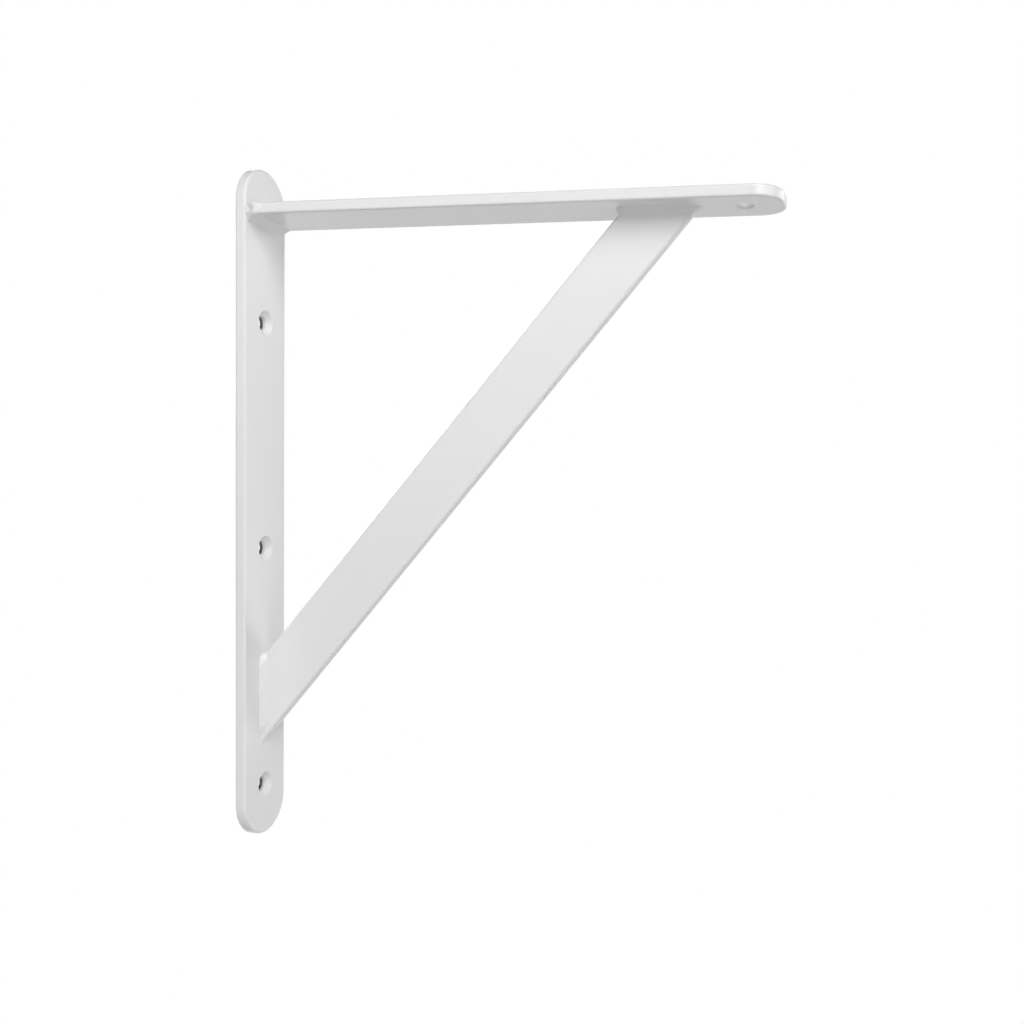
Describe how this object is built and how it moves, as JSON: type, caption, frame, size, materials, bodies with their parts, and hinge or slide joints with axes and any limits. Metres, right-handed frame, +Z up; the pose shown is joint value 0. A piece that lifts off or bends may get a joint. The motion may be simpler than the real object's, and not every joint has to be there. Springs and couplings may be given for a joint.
{
  "type": "wall bracket",
  "caption": "White welded shelf bracket: upright wall plate with countersunk screw holes, level shelf arm with a rounded tip and screw hole, and a diagonal brace on edge.",
  "frame": {"origin": "on the wall face of the plate, on the middle plane, level with the shelf face of the arm", "axes": "+X out from the wall along the arm, +Y across the bars, +Z up"},
  "size_m": [0.239, 0.0334, 0.3],
  "materials": {
    "white_coat": "semi-gloss white powder coat on flat steel bar",
    "white_coat_weld": "semi-gloss white powder coat over rippled weld bead"
  },
  "bodies": {
    "root": {"wall_plate": "white_coat", "shelf_arm": "white_coat", "diagonal_brace": "white_coat", "arm_weld": "white_coat_weld", "brace_foot_weld": "white_coat_weld", "brace_top_weld": "white_coat_weld"}
  },
  "joints": []
}
